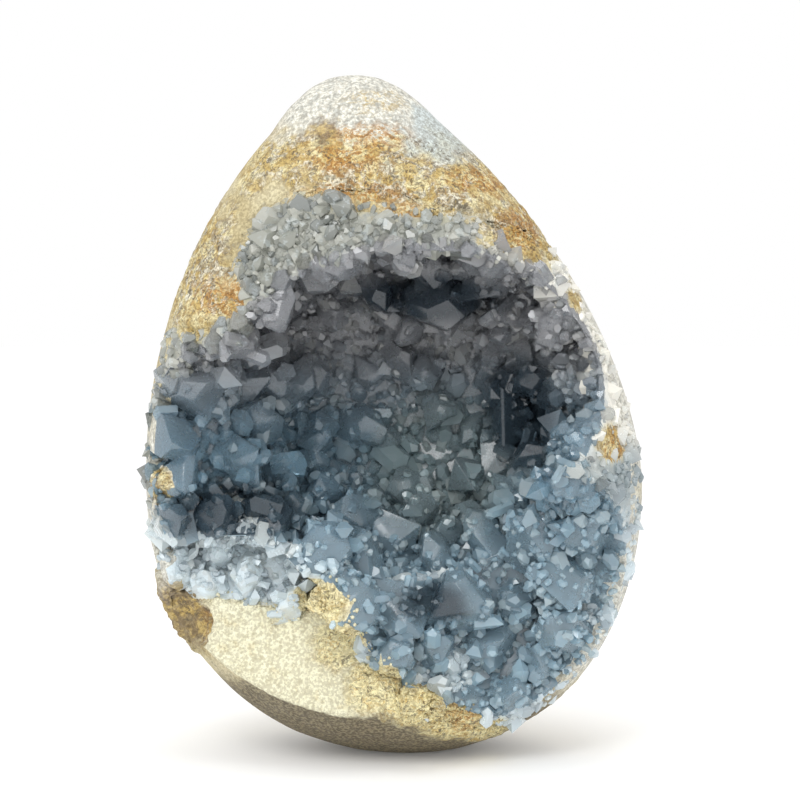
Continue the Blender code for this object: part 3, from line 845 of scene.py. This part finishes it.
class Ground:
    # random places on the crust's own surface
    def __init__(self, seed):
        self.draw = random.Random(seed)
        corners, sides = arraysOf(crustNode.data)
        self.first, self.second, self.third = (corners[sides[:, i]] for i in range(3))
        cross = numpy.cross(self.second - self.first, self.third - self.first)
        area = numpy.linalg.norm(cross, axis=1) / 2
        self.normals = cross / (2 * area[:, None] + 1e-12)
        self.sums = numpy.cumsum(area)
        self.area = self.sums[-1]
        self.rock = treeOf(rockNode)
        self.taken = {}

    def place(self):
        face = int(numpy.searchsorted(self.sums, self.draw.random() * self.area))
        face = min(face, len(self.sums) - 1)
        one, two = self.draw.random(), self.draw.random()
        if one + two > 1:
            one, two = 1 - one, 1 - two
        point = self.first[face] + one * (self.second[face] - self.first[face]) \
            + two * (self.third[face] - self.first[face])
        return Vector(point), Vector(self.normals[face])

    def hidden(self, point, normal):
        # against the rock, on the crust's back
        start = point + normal * groundSettings["lift"]
        return self.rock.ray_cast(start, normal, groundSettings["hiddenWithin"])[0] is not None

    def free(self, point, gap):
        # keeps crystals of one kind from standing in each other
        cell = tuple(int(part // groundSettings["cell"]) for part in point)
        for step in itertools.product((-1, 0, 1), repeat=3):
            beside = tuple(own + move for own, move in zip(cell, step))
            for other, reach in self.taken.get(beside, ()):
                if (other - point).length < (gap + reach) / 2:
                    return False
        self.taken.setdefault(cell, []).append((point, gap))
        return True

    def anyWay(self):
        return Vector((self.draw.uniform(-1, 1), self.draw.uniform(-1, 1), self.draw.uniform(-1, 1)))

    def anySize(self, sizes, power):
        # a higher power makes more small ones
        low, high = sizes
        return low * (high / low) ** (self.draw.random() ** power)


# the four kinds of small crystals; sizes in metres, the rest as shares of a crystal's width
smallSettings = dict(
    hollowCrystals=dict(
        seed=5, tries=22000, widths=(0.0025, 0.0085), stretch=(0.65, 1.0),
        lean=0.45, gap=0.60, sunk=0.26, pale=0.0,
        material="smallCelestite", finish=dict(clear=0.68, roughness=0.08, thick=10.0)),
    bowlCrystals=dict(
        seed=6, tries=18000, widths=(0.0017, 0.0056), stretch=(0.7, 1.1),
        lean=0.45, gap=0.66, sunk=0.30, pale=0.1,
        material="bowlCelestite", finish=dict(clear=0.58, roughness=0.10, thick=15.0)),
    shelfCrystals=dict(
        seed=8, tries=18000, widths=(0.0016, 0.0042), stretch=(0.8, 1.2),
        lean=0.6, gap=0.60, sunk=0.25, pale=0.6,
        material="shelfCelestite", finish=dict(clear=0.30, roughness=0.12, thick=None)),
    rimCrystals=dict(
        seed=7, tries=70000, widths=(0.0018, 0.0066), stretch=(0.7, 1.0),
        lean=1.0, gap=0.44, sunk=0.42, pale=1.0,
        material="sugarCelestite", finish=dict(clear=0.24, roughness=0.16, thick=None)),
)

# what the four kinds share
growth = dict(
    sizePower=1.8, forward=(0.0, -0.30, 0.0), leastUpright=0.3, sinkStep=0.1,
    paleDepth=(0.0, -0.0012), paleFront=(-0.008, -0.020),
)

# where each kind stands; depth is hollowDepth, and thin is where they get fewer
zones = dict(
    hollow=dict(depth=(-0.0015, 0.010), above=0.070, thin=(0.0010, 0.0035), thinned=0.95),
    bowl=dict(depth=(-0.0030, 0.015), below=0.078, thin=(0.0020, 0.0045), thinned=0.85),
    shelf=dict(leftOf=-0.015, above=0.040, below=0.061, facing=-0.3),
    rim=dict(depth=-0.0002, front=-0.004, round=(0.15, 0.27)),
    right=dict(fade=(0.026, 0.040), kept=0.8),
    rockDepth=-0.0010,
)


def scatter(name, wanted):
    # wanted(point, normal, depth) gives the odds that a crystal of this kind stands there
    values = smallSettings[name]
    ground = Ground(values["seed"])
    draw = ground.draw
    stands = []
    for _ in range(values["tries"]):
        point, normal = ground.place()
        width = ground.anySize(values["widths"], growth["sizePower"])
        stray = ground.anyWay() * values["lean"]
        stretch = draw.uniform(*values["stretch"])
        spin, pattern, tone = draw.uniform(0, 6.283), draw.randrange(len(patterns)), draw.random()
        if draw.random() > wanted(point, normal, hollowDepth(point)):
            continue
        if ground.hidden(point, normal) or not ground.free(point, width * values["gap"]):
            continue
        way = (normal + Vector(growth["forward"]) + stray).normalized()
        if way.dot(normal) < growth["leastUpright"]:
            way = (way + normal).normalized()
        sunk = values["sunk"]
        while pastEgg(point + way * width * (stretch - sunk)) > egg["proud"] and sunk < stretch:
            sunk += growth["sinkStep"]
        if sunk < stretch:
            # whiter at the rim of the open space
            edge = fade(hollowDepth(point), *growth["paleDepth"]) * fade(point.y, *growth["paleFront"])
            pale = max(values["pale"], edge)
            stands.append((point - way * width * sunk, way, width, stretch, spin, pattern, tone, pale))
    return stands


def inBand(point):
    return max(spotShare(point, spot) for spot in stains["lowBand"])


def onShelf(point):
    return point.x < zones["shelf"]["leftOf"] and point.z < zones["shelf"]["below"]


def stained(point, depth):
    # where the crust's own surface is covered with yellow rock
    spots = stains["lowBand"] + stains["patches"]
    if depth < zones["rockDepth"]:
        spots += stains["yellow"]
    return max(spotShare(point, spot) for spot in spots)


def thinOut(zone, point, depth):
    # fewer further in, except at the right, which has small crystals all over
    atRight = fade(point.x, *zones["right"]["fade"])
    return 1.0 - zone["thinned"] * fade(depth, *zone["thin"]) * (1 - zones["right"]["kept"] * atRight)


def inHollow(point, normal, depth):
    zone = zones["hollow"]
    low, high = zone["depth"]
    if not low < depth < high or point.z < zone["above"]:
        return 0.0
    return thinOut(zone, point, depth)


def inBowl(point, normal, depth):
    zone = zones["bowl"]
    low, high = zone["depth"]
    if not low < depth < high or point.z > zone["below"] or onShelf(point):
        return 0.0
    return thinOut(zone, point, depth) * (1 - inBand(point))


def inShelf(point, normal, depth):
    if not onShelf(point) or normal.z < zones["shelf"]["facing"] or point.z < zones["shelf"]["above"]:
        return 0.0
    return 1.0 - inBand(point)


def onRim(point, normal, depth):
    zone = zones["rim"]
    if depth > zone["depth"] or onShelf(point) or point.y > zone["front"]:
        return 0.0
    return fade(frontness(point), *zone["round"]) * (1 - stained(point, depth))


def makeSmallCrystals():
    for name, wanted in (("hollowCrystals", inHollow), ("bowlCrystals", inBowl),
                         ("shelfCrystals", inShelf), ("rimCrystals", onRim)):
        values = smallSettings[name]
        joinCrystals(name, scatter(name, wanted), crystalFinish(values["material"], **values["finish"]))


# rock grains along the seam and on the low band
grainSettings = dict(
    seed=9, tries=60000, sizes=(0.0006, 0.0022), sizePower=1.6,
    squash=(0.7, 1.3), bulge=(0.75, 1.15),    # each grain's own shape
    behind=-0.006, seamFade=(0.0030, 0.0012), round=(0.1, 0.4), seamShare=0.8,
    lift=0.04, gap=0.55,                      # shares of a grain's size
)


def makeGrains():
    bpy.ops.object.select_all(action="DESELECT")
    bpy.ops.mesh.primitive_ico_sphere_add(subdivisions=1, radius=0.5)
    ball = bpy.context.object
    corners, sides = arraysOf(ball.data)
    bpy.data.objects.remove(ball)
    ground = Ground(grainSettings["seed"])
    draw = ground.draw
    points, faces = [], []
    for _ in range(grainSettings["tries"]):
        point, normal = ground.place()
        size = ground.anySize(grainSettings["sizes"], grainSettings["sizePower"])
        turn = ground.anyWay().normalized()
        chance = draw.random()
        squash = [draw.uniform(*grainSettings["squash"]) for _ in range(3)]
        bulges = numpy.array([draw.uniform(*grainSettings["bulge"]) for _ in corners])
        if point.y > grainSettings["behind"] or ground.hidden(point, normal):
            continue
        edge = fade(ground.rock.find_nearest(point)[3], *grainSettings["seamFade"]) \
            * fade(frontness(point), *grainSettings["round"])
        odds = max(edge * grainSettings["seamShare"], inBand(point))
        if chance > odds or not ground.free(point, size * grainSettings["gap"]):
            continue
        spread = numpy.array(turn.to_track_quat("Z", "Y").to_matrix())
        local = corners * bulges[:, None] * numpy.array(squash) * size
        root = point + normal * size * grainSettings["lift"]
        faces.append(sides + len(points) * len(corners))
        points.append(local @ spread.T + numpy.array(root))
    obj = joinMesh("rockGrains", points, faces, bpy.data.materials["groundRock"])
    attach(obj, "root")
    print("rockGrains", len(points), "grains", len(obj.data.polygons), "faces")


# floor, light and camera
stageSettings = dict(
    floor=colour(250, 250, 250), floorRadius=4.0, floorGlow=0.07,
    world=(1.0, 1.0, 1.0, 1.0), worldStrength=1.0,
    lights=(                                  # name, place, size, power
        ("keyLight", (-0.34, -0.85, 0.80), 0.50, 4.0),
        ("fillLight", (0.10, -1.00, 0.12), 0.60, 0.9),
        ("topLight", (0.05, -0.15, 1.10), 0.40, 1.5),
    ),
    lightsAt=(0.0, 0.0, 0.09),
    target=(0.0016, 0.0, 0.09925), distance=0.65, elevation=3.0, lens=103.1,
)


def makeFloor():
    bpy.ops.object.select_all(action="DESELECT")
    bpy.ops.mesh.primitive_circle_add(vertices=64, radius=stageSettings["floorRadius"], fill_type="NGON",
                                      location=(0, 0, 0))
    floor = bpy.context.object
    floor.name = "paleFloor"
    floor.data.materials.append(Finish("paleFloor").shader({
        "Base Color": stageSettings["floor"], "Roughness": 0.9,
        "Emission Color": stageSettings["world"], "Emission Strength": stageSettings["floorGlow"]}))


def makeLights():
    world = bpy.context.scene.world or bpy.data.worlds.new("studio")
    bpy.context.scene.world = world
    world.use_nodes = True
    sockets = world.node_tree.nodes["Background"].inputs
    sockets["Color"].default_value = stageSettings["world"]
    sockets["Strength"].default_value = stageSettings["worldStrength"]
    for name, place, size, power in stageSettings["lights"]:
        lamp = bpy.data.lights.new(name, "AREA")
        lamp.energy = power
        lamp.size = size
        obj = bpy.data.objects.new(name, lamp)
        obj.location = place
        toward = Vector(stageSettings["lightsAt"]) - Vector(place)
        obj.rotation_euler = toward.to_track_quat("-Z", "Y").to_euler()
        bpy.context.scene.collection.objects.link(obj)


def makeCamera():
    lens = bpy.data.cameras.new("camera")
    lens.lens = stageSettings["lens"]
    lens.sensor_width = 36.0
    lens.clip_start, lens.clip_end = 0.01, 20.0
    camera = bpy.data.objects.new("camera", lens)
    up = math.radians(stageSettings["elevation"])
    back = Vector((0, -math.cos(up), math.sin(up)))
    camera.location = Vector(stageSettings["target"]) + back * stageSettings["distance"]
    camera.rotation_euler = (-back).to_track_quat("-Z", "Y").to_euler()
    bpy.context.scene.collection.objects.link(camera)
    bpy.context.scene.camera = camera


def makeView():
    bpy.context.scene.view_settings.view_transform = "Standard"
    paths = bpy.context.scene.cycles
    paths.max_bounces = paths.transmission_bounces = 5    # enough for light to get through the crystals
    paths.diffuse_bounces = paths.glossy_bounces = 3


makeCamera()
makeView()
makeFloor()
makeLights()
makeRock()
makeWall()
makeSmallCrystals()
makeGrains()
